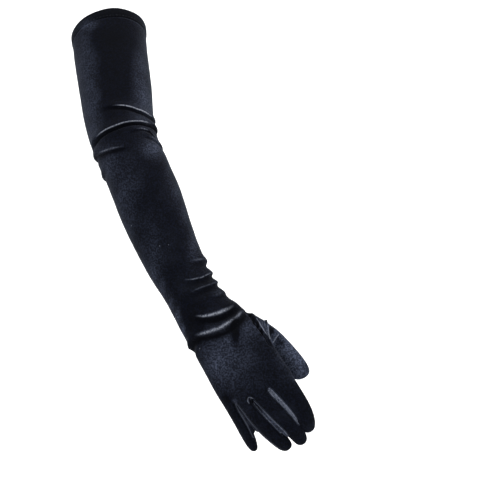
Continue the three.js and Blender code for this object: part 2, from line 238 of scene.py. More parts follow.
# Lines across the hand, how far each has spread to the knuckles' line, and the ball of the thumb
# there: its angle, the degrees on each side and its height.
PALM_LINES = [
    ([434.5, 430, 426.5, 424], 0, 336, 62, 10.5),
    ([446, 438, 439, 441], 0.15, 335, 62, 13.5),
    ([458, 450, 451, 453], 0.3, 333, 55, 10.5),
    ([471, 464, 465, 462], 0.55, 333, 50, 3),
    ([487, 486, 484, 472], 0.8, 333, 50, 0),
]
# The knuckles' line, little finger to index: along, across, height of the back, of the palm.
KNUCKLES = [
    (68, -39.5, -7, -19), (74, -34.5, -3, -21), (79, -28, -1.5, -16), (85.5, -19.5, 4.5, -13.5),
    (90, -11.5, 4.5, -9.5), (91, -1.2, 8.5, -10.5), (91, 9.2, 7, -7.5), (91, 24.5, 10.5, -10),
    (88, 37.5, 6, -6),
]
# How far the edges of the hand stand out past the ends of that line.
THUMB_EDGE, LITTLE_EDGE = 2, 1.5


def hand_point(along, across, height):
    down, side, back = HAND
    return HAND_MIDDLE + down * along + side * across + back * height


def hand_edge(row, outward):
    along, across, back, palm = row
    return along, across + outward, (back + palm) / 2


over = [(along, across, back) for along, across, back, palm in reversed(KNUCKLES)]
under = [(along, across, palm) for along, across, back, palm in KNUCKLES]
knuckles = [
    hand_edge(KNUCKLES[-1], THUMB_EDGE), *over, hand_edge(KNUCKLES[0], -LITTLE_EDGE), *under,
]
palm_rings = []
for line, spread, middle, half, rise in PALM_LINES:
    places = []
    for angle, (_, across, height) in zip(ANGLES, knuckles):
        s = line_at(line, angle)
        turn = turn_from(middle, angle) / half
        out = rise * cos(turn * pi / 2) ** 2 if abs(turn) < 1 else 0
        even = cloth_at(s, angle, out - thumb_ball(s, angle))
        flat = hand_point(s - WRIST, across, height)
        flat = flat + HAND[1] * out * cos(angle) + HAND[2] * out * sin(angle)
        places.append(even + (flat - even) * spread)
    ring = draw_out(ring, np.array(places) * MM)
    palm_rings.append(ring)
    side_seam.append(ring[LITTLE_SIDE])
knuckles = np.array([hand_point(*point) for point in knuckles]) * MM
ring = draw_out(ring, knuckles)


# Fingers and the strips between them
# The fronts, backs and tips of the fingers run on from the hand. Down both facing sides of two
# fingers goes one narrow strip, a fourchette, sewn in between them and round the crotch.
CUTS = [
    "glove_body", "fourchette_ring_little", "fourchette_middle_ring", "fourchette_index_middle",
    "thumb",
]
THUMB_CUT = CUTS.index("thumb")
# Each finger's roll, and its sections: along, across, height, width, thickness, half the strip's
# angle, turn.
FINGERS = [
    (30, [
        (86, -34.8, -14, 13.5, 15, 28, 0), (101, -35.6, -17, 15, 15, 26, 0),
        (118, -39, -22.5, 13.5, 13.5, 22, 0), (129.5, -41.5, -29.5, 8, 8, 30, 0),
    ]),
    (15, [
        (95, -19, -5, 17, 17, 28, 0), (113, -17.6, -7.5, 18.7, 17, 27, 0),
        (136, -13.2, -15, 17.8, 15, 27, 0), (150.5, -10.2, -26, 13.8, 9, 30, 0),
    ]),
    (5, [
        (97, -0.4, -1, 20, 19, 28, 0), (116, 2.7, -2, 20.4, 18.5, 26, 0),
        (140.5, 6.8, -11, 17.8, 16, 22, 0), (155.5, 4.8, -23.5, 13, 9.5, 30, 0),
    ]),
    (0, [
        (97, 23.6, 1, 27, 20, 28, 0), (114, 24.8, 2, 23, 19, 25, 0),
        (134.5, 24.5, -7, 19.4, 16.5, 20, 0), (150, 17.2, -20, 14.2, 10, 30, 0),
    ]),
]
# A section of eight corners shrinks as it is smoothed, so a width over this gives its corners.
TO_CORNERS = 1.86
CROTCH_SINK = 1
# The corner of a section in the middle of its back, and how many sections a strip goes up.
BACK_CORNER = 2
STRIP_SECTIONS = 3


def turned(v, axis, angle):
    along = axis * np.dot(v, axis)
    return along + (v - along) * cos(angle) + np.cross(axis, v) * sin(angle)


def grow_digit(root, roll, rows, cut_of):
    """Draws a digit out of its root, a ring of eight points, closes its tip, gives its rings."""
    rings = []
    middles = [np.mean(root, axis=0) / MM] + [hand_point(*row[:3]) for row in rows]
    ring = np.array(root)
    for r, (*_, wide, thick, strip, turn) in enumerate(rows):
        ahead = unit(middles[min(r + 2, len(rows))] - middles[r])
        ahead = turned(ahead, HAND[2], radians(turn))
        side = unit(HAND[1] - ahead * np.dot(HAND[1], ahead))
        side = turned(side, ahead, radians(roll))
        up = np.cross(ahead, side)
        corners = [0, strip, 90, 180 - strip, 180, 180 + strip, 270, 360 - strip]
        angles = np.radians(corners)[:, None]
        offsets = (side * wide * np.cos(angles) + up * thick * np.sin(angles)) / TO_CORNERS
        places = middles[r + 1] + offsets
        ring = draw_out(ring, places * MM, lambda corner: cut_of(corner, r))
        rings.append(ring)
    pick(ring)
    bpy.ops.mesh.edge_face_add()
    mesh = bmesh.from_edit_mesh(skin.data)
    for face in [f for f in mesh.faces if f.select]:
        face.material_index = cut_of(BACK_CORNER, len(rows))
    bmesh.update_edit_mesh(skin.data)
    return rings


# Each crotch: an edge from back to palm, halved, its middle sunk a little towards the wrist. The
# knuckles' ring has the back in its places 1 to 9 and the palm in 11 to 19, so place 9 - column
# of the knuckles' line is over place 11 + column.
crotches = [knuckles[LITTLE_SIDE]]
for column in (2, 4, 6):
    ends = knuckles[9 - column], knuckles[11 + column]
    mesh = bmesh.from_edit_mesh(skin.data)
    bpy.ops.mesh.select_all(action="DESELECT")
    bpy.ops.mesh.select_mode(type="VERT")
    for end in ends:
        min(mesh.verts, key=lambda v: (v.co - Vector(end)).length).select_set(True)
    bpy.ops.mesh.edge_face_add()
    bpy.ops.mesh.select_mode(type="EDGE")
    bpy.ops.mesh.subdivide(number_cuts=1)
    mesh = bmesh.from_edit_mesh(skin.data)
    middle = (ends[0] + ends[1]) / 2
    vert = min(mesh.verts, key=lambda v: (v.co - Vector(middle)).length)
    vert.co = middle - HAND[0] * CROTCH_SINK * MM
    crotches.append(np.array(vert.co))
    bmesh.update_edit_mesh(skin.data)
crotches.append(knuckles[0])
for k, (roll, rows) in enumerate(FINGERS):
    near, far = 2 * k + 2, 2 * k
    root = [
        crotches[k + 1], knuckles[9 - near], knuckles[10 - near], knuckles[9 - far],
        crotches[k], knuckles[11 + far], knuckles[10 + near], knuckles[11 + near],
    ]

    def finger_cut(corner, r):
        """Faces 7 and 0 are on the thumb's side of a finger, faces 3 and 4 on the other side."""
        if r < STRIP_SECTIONS and corner in (0, 7) and k < len(FINGERS) - 1:
            return k + 1
        if r < STRIP_SECTIONS and corner in (3, 4) and k > 0:
            return k
        return 0

    rings = grow_digit(root, roll, rows, finger_cut)
    if k == 0:
        side_seam += [knuckles[LITTLE_SIDE]] + [ring[4] for ring in rings]


# Thumb
# The thumb is a tube of its own, sewn into a hole at the side of the palm with its seam a
# little gathered.

# Its sections, in the same columns as a finger's.
THUMB = [
    (44, 43, -20, 26, 20, 45, 32), (60, 46, -22, 21, 19, 45, 14),
    (83, 46.5, -21, 24, 16.5, 45, 0), (99.5, 45.7, -18.5, 20, 10, 45, -8),
]
# The hole has three points of each of three lines of the palm, at these places of a ring.
HOLE_PLACES = [18, 19, 0]
top, middle, bottom = (line[HOLE_PLACES] for line in palm_rings[1:4])
hole = {tuple(np.round(point / MM, 2)) for line in (top, middle, bottom) for point in line}
mesh = bmesh.from_edit_mesh(skin.data)
bpy.ops.mesh.select_mode(type="FACE")
bpy.ops.mesh.select_all(action="DESELECT")
for face in mesh.faces:
    corners = {tuple(np.round(np.array(v.co) / MM, 2)) for v in face.verts}
    face.select_set(corners <= hole)
bpy.ops.mesh.delete(type="FACE")
bpy.ops.mesh.select_mode(type="EDGE")
root = [top[1], top[2], middle[2], bottom[2], bottom[1], bottom[0], middle[0], top[0]]
grow_digit(root, 0, THUMB, lambda corner, r: THUMB_CUT)
pick(side_seam, closed=False)
bpy.ops.mesh.mark_seam()


def smooth_out(piece, levels):
    """Turns the faces outwards, leaves edit mode and smooths the piece."""
    bpy.ops.mesh.select_all(action="SELECT")
    bpy.ops.mesh.normals_make_consistent(inside=False)
    bpy.ops.object.mode_set(mode="OBJECT")
    bpy.ops.object.modifier_add(type="SUBSURF")
    smoothing = piece.modifiers[-1]
    smoothing.levels = smoothing.render_levels = levels
    bpy.ops.object.modifier_apply(modifier=smoothing.name)


smooth_out(skin, 3)

# The root of the thumb is divided once more, for its puckers.
PUCKERED, PUCKERED_RADIUS = (34, 42, -2), 26
puckered = Vector(hand_point(*PUCKERED) * MM)
bpy.ops.object.mode_set(mode="EDIT")
bpy.ops.mesh.select_mode(type="FACE")
bpy.ops.mesh.select_all(action="DESELECT")
mesh = bmesh.from_edit_mesh(skin.data)
for face in mesh.faces:
    face.select_set((face.calc_center_median() - puckered).length < PUCKERED_RADIUS * MM)
bmesh.update_edit_mesh(skin.data)
bpy.ops.mesh.subdivide(number_cuts=1)
bpy.ops.object.mode_set(mode="OBJECT")


# Folds
# Stretch velvet goes into soft rolls where the elbow and wrist bend. Each roll is a rounded
# crest that hangs a little over the sharp valley below it.

# Each fold: its line as (angle from the thumb side over the back, distance down), its rise and
# the drop of its valley, the widths above and below the crest, the degrees over which each end
# fades, the angles between which its crest gets a painted highlight, how bright it is, and how
# wide a line it is.
FOLDS = [
    ([(-45, 131), (0, 139.5), (23, 143.5), (49, 142), (71, 137.6), (97, 134), (120, 132)],
     2.0, 1.8, 6.0, 2.4, 50, 45, 10, 96, 0.5, 0.8),
    ([(-40, 151), (8, 155.6), (34, 159), (57, 160), (93, 161), (113, 160), (144, 159), (168, 158)],
     2.6, 2.8, 6.0, 2.0, 45, 25, 18, 138, 0.4, 0.75),
    ([(10, 179), (22, 178), (31, 171.3), (49, 169.4), (65, 171.4), (78, 173)],
     1.0, 0.8, 3.0, 1.8, 16, 16, 20, 64, 0.25, 0.8),
    ([(-25, 186.5), (4, 185), (16, 183), (28, 180.7), (41, 179), (58, 179)],
     1.1, 1.4, 4.0, 2.2, 24, 20, 6, 48, 0.15, 0.9),
    ([(78, 190), (97, 185), (115, 180.4), (135, 175.4), (160, 168), (180, 166), (205, 166)],
     2.0, 1.8, 5.0, 2.2, 22, 35, 84, 150, 0.18, 1.1),
    ([(138, 192.5), (165, 190), (190, 189.5), (222, 187)], 2.0, 1.5, 4.5, 2.2, 30, 30, 0, 0, 0, 1),
    ([(190, 150), (225, 156), (270, 160), (300, 156)], 1.2, 1.2, 6.0, 3.0, 30, 30, 0, 0, 0, 1),
    ([(200, 176), (240, 174), (285, 172), (330, 174)], 1.6, 1.2, 5.0, 3.0, 30, 30, 0, 0, 0, 1),
    ([(-45, 336), (-3, 338.6), (32, 340.7), (52, 341), (72, 342)],
     2.2, 1.2, 6.0, 4.0, 40, 50, 8, 58, 0.13, 1.4),
    ([(-45, 351), (-3, 355.7), (30, 361), (52, 363.5), (72, 361.6), (93, 356), (112, 352)],
     2.4, 1.4, 5.5, 3.8, 40, 62, 6, 92, 0.2, 0.9),
    ([(-45, 363), (-2, 368.8), (25, 373.5), (47, 375), (84, 374), (102, 371.6), (122, 369)],
     2.1, 1.4, 5.0, 3.6, 45, 60, 6, 92, 0.11, 0.9),
    ([(-40, 383), (0, 386), (40, 390), (80, 388)], 0.8, 0.6, 5.0, 3.0, 40, 40, 10, 60, 0.06, 1.4),
    ([(-12, 405), (8, 408.5), (25, 410.5), (46, 411.3), (64, 410.5), (78, 408), (91, 404),
      (101, 399.5), (122, 393)],
     2.8, 3.2, 5.5, 3.6, 50, 40, 24, 114, 0.36, 1.7),
    ([(-12, 408), (0, 414), (18, 419.3), (40, 422.8), (61, 424), (79, 424), (97, 420.3),
      (113, 416), (124, 412.5), (143, 410.5), (160, 412), (180, 415.5), (205, 416)],
     2.6, 3.0, 4.5, 3.5, 40, 45, 10, 132, 0.3, 2.0),
    ([(190, 398), (225, 402), (270, 404), (310, 402)], 1.4, 1.2, 5.0, 3.0, 30, 30, 0, 0, 0, 1),
    ([(205, 372), (245, 368), (290, 366), (325, 368)], 1.2, 1.0, 5.0, 3.0, 30, 30, 0, 0, 0, 1),
]
# Where a valley lies past its crest and how wide it is, in widths of the crest's lower side.
VALLEY_PAST, VALLEY_WIDE = 2.1, 1.15
# The degrees over which a crest's painted highlight fades at each end, how far that highlight
# lies below the crest, and how far from the crest it ends.
LIGHT_FADE, LIGHT_BELOW, LIGHT_REACH = 26, 0.6, 4.5
# How far a fold leans down the arm for each millimetre that it is raised.
LEAN = 0.55
# Further from a crest than its painted highlight shows, in widths of that highlight.
FAR = 9.0
# Where a fold has faded to less than this, its crest no longer counts.
FAINT = 0.05
# Past FOLDS_END down the arm there are no folds, and over these lengths the hand takes over.
FOLDS_END = 440
HAND_FROM, HAND_OVER = 412, 20


def ease(t):
    t = np.clip(t, 0, 1)
    return t * t * (3 - 2 * t)


def hump(distance, at, wide):
    """1 at a distance of at, falling smoothly to 0 within about twice the width on each side."""
    return np.exp(-(((distance - at) / wide) ** 2))


def lay_folds(s, angle):
    """How far the folds raise the cloth, how much painted shade it gets in a valley, then for the
    nearest crest the distance past it, in widths of its painted highlight, and how bright that is."""
    degrees_round = np.degrees(angle)
    relief, valley_shade, light = np.zeros_like(s), np.zeros_like(s), np.zeros_like(s)
    nearest, crest = np.full_like(s, FAR), np.full_like(s, FAR)
    for line, rise, drop, above, below, fade_in, fade_out, lit_from, lit_to, bright, wide in FOLDS:
        turns, ats = np.array(line, float).T
        lowest = (turns[0] + turns[-1]) / 2 - 180
        around = (degrees_round - lowest) % 360 + lowest
        past = s - np.interp(around, turns, ats)
        fade = ease((around - turns[0]) / fade_in) * ease((turns[-1] - around) / fade_out)
        hollow_shade = fade * hump(past, VALLEY_PAST * below, VALLEY_WIDE * below)
        relief += fade * rise * hump(past, 0, np.where(past < 0, above, below))
        relief -= drop * hollow_shade
        valley_shade = np.maximum(valley_shade, hollow_shade * min(1, drop / 2))
        lit = ease((around - lit_from) / LIGHT_FADE) * ease((lit_to - around) / LIGHT_FADE)
        lit = lit * bright * (np.abs(past) < LIGHT_REACH)
        closer = (np.abs(past) < np.abs(nearest)) & (fade > FAINT)
        nearest = np.where(closer, past, nearest)
        crest = np.where(closer, (past - LIGHT_BELOW) / wide, crest)
        light = np.where(closer, lit, light)
    return relief, valley_shade, crest, light


data = skin.data
count = len(data.vertices)
points = np.empty(count * 3)
data.vertices.foreach_get("co", points)
points = points.reshape(-1, 3) / MM

# Where each point lies: its distance down the arm, measured between steps, and its angle.
steps = np.arange(-2, FOLDS_END + 6, 1.0)
middles, downs, _, _ = section_at(steps)
past_step = points @ downs.T - (middles * downs).sum(axis=1)
i = np.clip((past_step > 0).sum(axis=1) - 1, 0, len(steps) - 2)
here = past_step[np.arange(count), i]
station = steps[i] + np.clip(here / (here - past_step[np.arange(count), i + 1]), 0, 1)
middle, down, across, back = section_at(station)
form = form_at(station)
off = points - middle
angle = np.arctan2(
    (off * back).sum(axis=1) / form[:, 4], (off * across).sum(axis=1) / form[:, 3]
)
on_sleeve = station < FOLDS_END
relief, valley_shade, crest, light = lay_folds(station, angle)
# The cloth is never quite even: it has broad swells, and smaller ones on them.
BROAD, SMALL, SMALL_SHARE, SWELL_HIGH = 34, 13, 0.4, 0.35
swells = [
    noise.noise(Vector(p) / BROAD) + SMALL_SHARE * noise.noise(Vector(p) / SMALL) for p in points
]
relief += SWELL_HIGH * np.array(swells)
raised = cloth_at(station, angle, relief, LEAN * np.clip(relief, -1, 3))
outward = across * np.cos(angle)[:, None] + back * np.sin(angle)[:, None]
on_hand = ease((station - HAND_FROM) / HAND_OVER)[:, None]
raised += (points + relief[:, None] * outward - raised) * on_hand
points[on_sleeve] = raised[on_sleeve]


# Seams and gathers
# The pieces are sewn right sides together, so each seam is pulled in to a groove with puffed
# lips. The hand overlaps the root of the thumb, which gathers into ridges and puckers.

# Each kind: depth, or height of a ridge where it is below 0, width, how much the cloth gathers
# along it, how bright the painted highlight on its lips or its ridge is, and how dark the painted
# shade in its groove is.
SEAMS = {
    "strip": (0.75, 1.1, 0.15, 0.13, 0.0),
    "thumb": (1.2, 1.3, 1.0, 0.04, 0.8),
    "side": (0.5, 1.2, 0.15, 0.0, 0.0),
    "overlap": (2.6, 1.9, 0.7, 0.06, 1.0),
    "ridge": (-0.7, 1.0, 0.0, 0.3, 0.0),
    "rim": (-0.25, 0.9, 0.0, 0.14, 0.0),
}
# Lines of overlap and ridge at the thumb's root and at the ends of the strips, as points along,
# across and above the hand.
PUCKERS = [
    ("overlap", [
        (9, 37.4, 3.2), (15, 38.2, 3.4), (24, 37.3, 6), (35, 38.3, 5.2), (43.5, 38.5, 4.2),
        (54, 37.6, 4.4),
    ]),
    ("ridge", [
        (21.5, 41.5, 2.4), (29.7, 41.1, 3.5), (37.4, 40.7, 3), (44.4, 40, 0.9), (50.5, 39.1, 1),
    ]),
    ("ridge", [(27, 48.5, -5.5), (33, 46.8, -3.8), (40.4, 43.4, -2.8), (46.8, 40.4, -2.6)]),
    ("ridge", [(45.5, 50.5, -11), (47.7, 45.6, -9.6), (49.8, 40.4, -9.8)]),
    ("ridge", [
        (91.5, -15.8, 3.3), (88.5, -15.6, 4), (86.6, -13.2, 4.8), (87.5, -11, 4.6),
        (89.5, -9.5, 4.2),
    ]),
    ("rim", [
        (119.8, -24.1, -8.3), (129, -22.2, -11.5), (137.8, -20, -14.5), (145.4, -17.3, -19.3),
    ]),
]
PUCKER_PARTS = 10
# Gathers that stand out in the outline at the thumb's root, or sink in below 0: along, across and
# above the hand, how much, and half the width along it. The other half widths are GATHER_REACH.
GATHERS = [(7, 38, -5, -1.8, 2.6), (12.6, 40.5, -5, 1.2, 2.0), (26.4, 45.8, -7, 2.8, 1.8)]
GATHER_REACH = 6
# A strip bulges by up to this much, and rises to it over this far from its seams. What it faces
# is looked for from a little above it, to this far away, and it stops this short of the middle.
BULGE, BULGE_RISE = 2.8, 2.4
LOOK_FROM, LOOK_REACH, STOP_SHORT = 0.2, 9, 0.05
# The lips beside a seam: how high, how far from it and how wide. Then the same for the small
# puckers along a seam, whose height is the seam's own, and the size of one.
LIP_HIGH, LIP_FROM, LIP_WIDE = 0.25, 2.4, 1.2
PUCKER_FROM, PUCKER_WIDE, PUCKER_SIZE = 2.6, 3.2, 2.6
# How much painted sheen each strip shows between two fingers, from the little finger's side,
# then how bright its painted highlight is, how much of the painted highlight on its seams' lips
# shows, and how far along the hand its painted sheen starts.
STRIP_SHEEN = {1: (0.02, 0, 1, 0), 2: (0.6, 0, 1, 101), 3: (1.1, 0.13, 0.3, 0)}


def lay_out():
    """Moves the mesh to the points, and gives its normals there."""
    data.vertices.foreach_set("co", (points * MM).ravel())
    data.update()
    normals = np.empty(count * 3)
    data.vertices.foreach_get("normal", normals)
    return normals.reshape(-1, 3)


# A seam is an edge between two cuts, or on the side seam, but not one across a strip's end, which
# runs nearly straight from back to palm.
BACK_TO_PALM = 0.8
cuts_at = {}
for face in data.polygons:
    for key in face.edge_keys:
        cuts_at.setdefault(key, set()).add(face.material_index)
marked = []
for edge in data.edges:
    cuts = cuts_at[edge.key]
    if edge.use_seam or len(cuts) == 2:
        a, b = (points[v] for v in edge.vertices)
        kind = "side" if edge.use_seam else "thumb" if THUMB_CUT in cuts else "strip"
        end_of_strip = kind == "strip" and abs(unit(b - a) @ HAND[2]) > BACK_TO_PALM
        if not end_of_strip:
            marked.append((a, b, kind))
for kind, line in PUCKERS:
    line = [hand_point(*point) for point in line]
    for a, b in zip(line, line[1:]):
        for t in range(PUCKER_PARTS):
            part = a + (b - a) * t / PUCKER_PARTS, a + (b - a) * (t + 1) / PUCKER_PARTS
            marked.append((*part, kind))
tree = kdtree.KDTree(len(marked) * 4)
for k, (a, b, kind) in enumerate(marked):
    for t in (0.0, 0.25, 0.5, 0.75):
        tree.insert(Vector(a * (1 - t) + b * t), k)
tree.balance()
found = [tree.find(Vector(p)) for p in points]
seam_at = np.array([spot for spot, _, _ in found])
from_seam = np.array([distance for _, _, distance in found])
kinds = np.array([SEAMS[marked[k][2]] for _, k, _ in found])
depth, width, gathers, lip_highlight, groove_shading = kinds.T

# The fingers are held together, so their strips bulge until they meet in the middle.
normals = lay_out()
strips = {}
for face in data.polygons:
    if face.material_index in STRIP_SHEEN:
        strips.update((v, STRIP_SHEEN[face.material_index]) for v in face.vertices)
faces = [tuple(face.vertices) for face in data.polygons]
solid = bvhtree.BVHTree.FromPolygons([Vector(p) for p in points], faces)
for v in strips:
    normal = Vector(normals[v])
    *_, gap = solid.ray_cast(Vector(points[v]) + normal * LOOK_FROM, normal, LOOK_REACH)
    if gap:
        push = min(gap / 2 - STOP_SHORT, BULGE) * float(ease(from_seam[v] / BULGE_RISE))
        points[v] += normals[v] * push

normals = lay_out()
pull = depth * hump(from_seam, 0, width)
puff = LIP_HIGH * hump(from_seam, LIP_FROM, LIP_WIDE)
gather = np.array([noise.noise(Vector(p) / PUCKER_SIZE) for p in seam_at])
gather = gather * hump(from_seam, PUCKER_FROM, PUCKER_WIDE) * gathers
for *spot, much, wide in GATHERS:
    off = (points - hand_point(*spot)) @ np.array(HAND).T / [wide, GATHER_REACH, GATHER_REACH]
    pull -= much * np.exp(-(off ** 2).sum(axis=1))
points += normals * (puff + gather - pull)[:, None]
normals = lay_out()


# Painted sheen and shade
# The pile gets painted sheen, grey, in patches and drifts, and painted shade, near black, where
# the patches go below 0. Here each point of the cloth gets its painted sheen, and the other things
# that its colour follows, and the skin is then parted into its cuts.

# Patches of painted sheen on the front, by x, z, their half widths, and how much sheen, or
# painted shade below 0.
SHEEN_AND_SHADE_PATCHES = [
    # Upper sleeve
    (54, -92, 8, 24, 0.46), (44, -60, 9, 40, 0.22), (-23, -46, 13, 46, 0.24),
    (-10, -108, 11, 36, 0.24), (9, -12, 20, 14, -0.35), (14, -62, 13, 46, -0.16),
    (-18, 3, 11, 6, 0.32),
    # Elbow and the forearm's thumb side
    (60, -127, 6, 4, -0.8), (62, -142, 10, 12, 0.5), (40, -180, 14, 26, 0.04),
    (80, -172, 6, 14, 0.16), (89, -194, 6, 14, 0.24), (97, -216, 5, 14, 0.2),
    (108, -250, 6, 24, 0.22),
    # Forearm's little side
    (10, -166, 12, 20, 0.26), (30, -212, 13, 40, 0.22), (62, -270, 12, 40, 0.16),
    (64, -286, 4, 12, 0.22), (74, -303, 4, 11, 0.36), (83, -319, 3.5, 10, 0.42),
    (91, -333, 3.5, 10, 0.5), (97, -345, 3, 8, 0.5),
    # Wrist
    (108, -334, 9, 14, -0.3), (134, -303, 5, 4, 0.15), (147, -320, 6, 4, -0.3),
    (149, -335, 5, 5, -0.15),
    # Back of the hand and the ends of the strips
    (146, -372, 22, 30, 0.32), (130, -380, 12, 24, 0.2), (167, -340, 9, 11, 0.25),
    (144, -352, 4, 9, 0.2), (153, -343, 3.2, 11, -0.8), (188, -392, 30, 34, 0.03),
    (170.5, -417.5, 1.4, 1.4, -1.8), (152.5, -417.5, 1.8, 2.2, 0.4), (143.5, -417, 4, 3.5, -0.4),
    # Thumb and the puckers at its root
    (220, -383, 9, 9, 0.12), (206, -366, 8, 11, 0.4), (182, -340, 5, 8, 0.5),
    (192.5, -345, 2.2, 5, -0.9), (202, -359, 5, 3, -0.7), (199, -354.5, 4, 3.5, -0.6),
    (190, -346, 1.2, 7, -0.9), (186, -335, 1.3, 6, -1.5), (219, -391, 6, 4, 0.4),
    (229, -382, 4, 8, -0.5), (172.7, -332.5, 1.5, 3.5, -0.8), (177, -338.5, 1.5, 4, -0.8),
    (181, -345, 1.5, 4, -0.8), (169.5, -327.5, 2, 3, -0.8),
]
# How much painted sheen there is everywhere, at most behind, as painted highlight on the
# gathers, and on the thumb, and the size of the drifts behind.
SHEEN_LEAST, SHEEN_BEHIND, GATHER_HIGHLIGHT, SHEEN_THUMB = 0.012, 0.2, 0.3, 0.74
DRIFT_SIZE = 30
# How far from its seam a strip has its full painted sheen and its full painted highlight, and the
# length its painted sheen rises over.
PALE_FROM, LIT_FROM, PALE_OVER = 0.5, 1.2, 14
# A seam's lips get their painted highlight this far from its groove, and a ridge does on its line.
LIP_LINE = 1.1


def painted_sheen_at(points, normals):
    """Painted sheen, behind in broad drifts and in front in the patches, and painted shade below 0.
    """
    # Patches of painted sheen go on faces turned towards the camera, drifts on faces turned away.
    facing, behind = np.clip(-2 * normals[:, 1], 0, 1), np.clip(2 * normals[:, 1], 0, 1)
    drifts = np.array([noise.noise(Vector(p) / DRIFT_SIZE) for p in points])
    painted_sheen = SHEEN_LEAST + SHEEN_BEHIND * np.clip(0.6 + 0.8 * drifts, 0, 1) * behind
    for x, z, wide, high, much in SHEEN_AND_SHADE_PATCHES:
        patch = ((points[:, 0] - x) / wide) ** 2 + ((points[:, 2] - z) / high) ** 2
        painted_sheen += much * np.exp(-patch) * facing
    return painted_sheen


# Painted highlight on the gathers, and painted sheen on the thumb's faces turned towards the
# camera.
painted_sheen = painted_sheen_at(points, normals) + GATHER_HIGHLIGHT * np.clip(gather, 0, 1)
thumb_faces = [face for face in data.polygons if face.material_index == THUMB_CUT]
in_thumb = sorted({v for face in thumb_faces for v in face.vertices})
painted_sheen[in_thumb] += SHEEN_THUMB * np.clip(0.35 - 1.1 * normals[in_thumb, 1], 0, 1)
in_strip, strip_light = np.zeros(count), np.zeros(count)
along_hand = (points - HAND_MIDDLE) @ HAND[0]
# Each strip gets painted sheen and a painted highlight, both growing away from its seams.
for v, (pale, lit, lip_share, turns_pale) in strips.items():
    shown = ease(from_seam[v] / PALE_FROM) * ease((along_hand[v] - turns_pale) / PALE_OVER)
    painted_sheen[v] += pale * float(shown)
    strip_light[v] = lit * float(ease(from_seam[v] / LIT_FROM))
    in_strip[v] = lip_share
# Painted shade in the seams' grooves.
groove_shade = groove_shading * hump(from_seam, 0, 0.75 * width)
# Where the patches go below 0, painted shade.
pressed_shade = np.clip(-2 * painted_sheen, 0, 1)
is_ridge = depth < 0
fields = {
    "crest": np.where(on_sleeve, crest, FAR * (strip_light == 0)),
    "crest_light": np.where(on_sleeve, light, strip_light),
    "hollow_shade": np.clip(np.maximum(valley_shade * on_sleeve, groove_shade) + pressed_shade, 0, 1),
    "lip_highlight": lip_highlight * np.where(groove_shading + is_ridge, 1, in_strip),
    "from_seam": from_seam + LIP_LINE * is_ridge,
    "painted_sheen": painted_sheen,
}


def give_fields(piece, fields):
    """Puts the fields on a piece as attributes, for its material to read."""
    for name, values in fields.items():
        piece.data.attributes.new(name, "FLOAT", "POINT").data.foreach_set("value", values)


give_fields(skin, fields)
for name in CUTS:
    data.materials.append(bpy.data.materials.new(name))
bpy.ops.object.mode_set(mode="EDIT")
bpy.ops.mesh.select_all(action="SELECT")
bpy.ops.mesh.separate(type="MATERIAL")
bpy.ops.object.mode_set(mode="OBJECT")
cloth_pieces = {o.data.materials[0].name: o for o in bpy.context.selected_objects}


# Velvet
# All of the glove is one stretch velvet: a short, dense, blue-black pile on a knitted ground.
# It is near black face on and its sheen shows where it turns away; painted sheen, painted
# highlights and painted shade are mixed into its colour as well.
# The pile's black, also used for painted shade, and its deep blue-black.
PILE_AND_SHADE_BLACK = (0.0006, 0.0008, 0.0016, 1)
PILE_DEEP = (0.0018, 0.0026, 0.0066, 1)
# The grey of painted sheen, and the pale of painted highlights and of lint.
SHEEN_GREY = (0.042, 0.050, 0.076, 1)
HIGHLIGHT_AND_LINT_PALE = (0.42, 0.44, 0.48, 1)
SHEEN_TINT = (0.60, 0.68, 0.92, 1)
# Noise scales: drifts of the pile some centimetres wide, tufts of it and single ends.
DRIFTS, TUFTS, ENDS = 38, 560, 2100
# Specks of lint: how many there are along a metre, where one ends and is whole, measured from its
# middle, and how bright it is.
LINT_SCALE, LINT_ENDS, LINT_WHOLE, LINT_BRIGHT = 75, 0.045, 0.02, 0.3
# The base of the natural powers, for the bell curves.
BASE = 2.718


class Pattern:
    """A socket of a material, so that a pattern is written as sums and products."""

    def __init__(self, tree, socket=None):
        self.tree, self.socket = tree, socket

    def node(self, kind, settings, sockets, out=0):
        """Adds a node, makes its settings, fills its sockets and gives the one that comes out."""
        node = self.tree.nodes.new(kind)
        for name, value in settings.items():
            setattr(node, name, value)
        for name, value in sockets.items():
            if isinstance(value, Pattern):
                self.tree.links.new(value.socket, node.inputs[name])
            else:
                node.inputs[name].default_value = value
        return Pattern(self.tree, node.outputs[out])

    def maths(self, operation, a, b):
        return self.node("ShaderNodeMath", {"operation": operation}, {0: a, 1: b})

    def __add__(self, other):
        return self.maths("ADD", self, other)

    def __mul__(self, other):
        return self.maths("MULTIPLY", self, other)

    def __sub__(self, other):
        return self.maths("SUBTRACT", self, other)

    def __rsub__(self, other):
        return self.maths("SUBTRACT", other, self)

    def __pow__(self, other):
        return self.maths("POWER", self, other)

    def __rpow__(self, other):
        return self.maths("POWER", other, self)

    __radd__, __rmul__ = __add__, __mul__


def new_finish(name, settings):
    """A new material, with what is the same all over it set on its shader's own sockets."""
    material = bpy.data.materials.new(name)
    material.use_nodes = True
    shader = material.node_tree.nodes["Principled BSDF"]
    for socket, value in settings.items():
        shader.inputs[socket].default_value = value
    return material


velvet = new_finish("stretch_velvet", {
    "Roughness": 0.95, "Specular IOR Level": 0.05,
    "Sheen Weight": 0.08, "Sheen Roughness": 0.3, "Sheen Tint": SHEEN_TINT,
})
tree = velvet.node_tree
shader = tree.nodes["Principled BSDF"]
start = Pattern(tree)


def attribute(name):
    return start.node("ShaderNodeAttribute", {"attribute_name": name}, {}, out="Fac")


def mixed(factor, a, b):
    """Colour a where the factor is 0 and b where it is 1, in the node's sockets for colours."""
    return start.node("ShaderNodeMix", {"data_type": "RGBA"}, {0: factor, 6: a, 7: b}, out=2)


